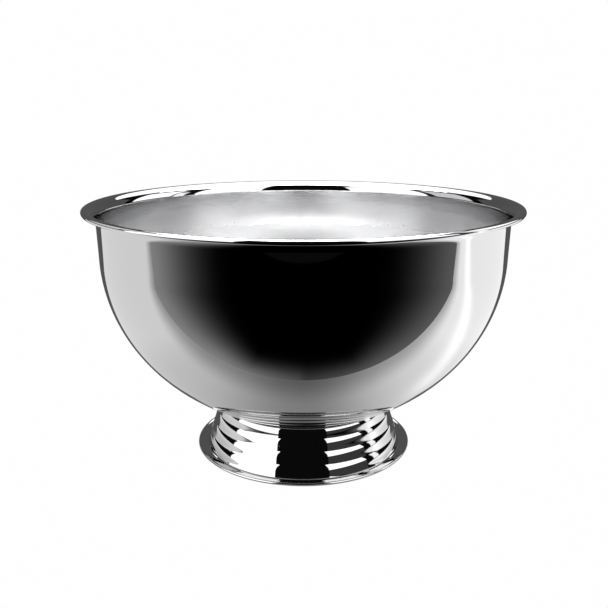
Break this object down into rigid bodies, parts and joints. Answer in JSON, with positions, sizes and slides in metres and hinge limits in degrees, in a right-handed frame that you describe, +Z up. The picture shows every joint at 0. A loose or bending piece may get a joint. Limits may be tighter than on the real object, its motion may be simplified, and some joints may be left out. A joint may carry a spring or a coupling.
{
  "type": "punch bowl",
  "caption": "Deep round stainless steel punch bowl with a flared, rolled rim on a ringed, flanged pedestal foot, held by a stud and nut inside the foot.",
  "frame": {"origin": "on the bowl's axis, at the bottom of the foot's hem, where it stands on the table", "axes": "+Z up along the axis of revolution; the bowl is round, so X and Y are any two level directions"},
  "size_m": [0.3799, 0.38, 0.224],
  "materials": {
    "bowl_steel": "mirror-polished stainless steel sheet",
    "foot_steel": "mirror-polished stainless steel sheet",
    "wire_steel": "drawn stainless wire",
    "plate_steel": "satin stainless plate",
    "fastener_steel": "bright turned stainless",
    "spring_steel": "dull spring steel",
    "gasket_rubber": "thin dark sheet rubber"
  },
  "bodies": {
    "root": {"bowl_shell": "bowl_steel", "rim_wire": "wire_steel", "neck_gasket": "gasket_rubber", "foot_shell": "foot_steel", "stud_plate": "plate_steel", "foot_stud": "fastener_steel", "clamp_plate": "plate_steel", "flat_washer": "fastener_steel", "spring_washer": "spring_steel", "foot_nut": "fastener_steel"}
  },
  "joints": []
}
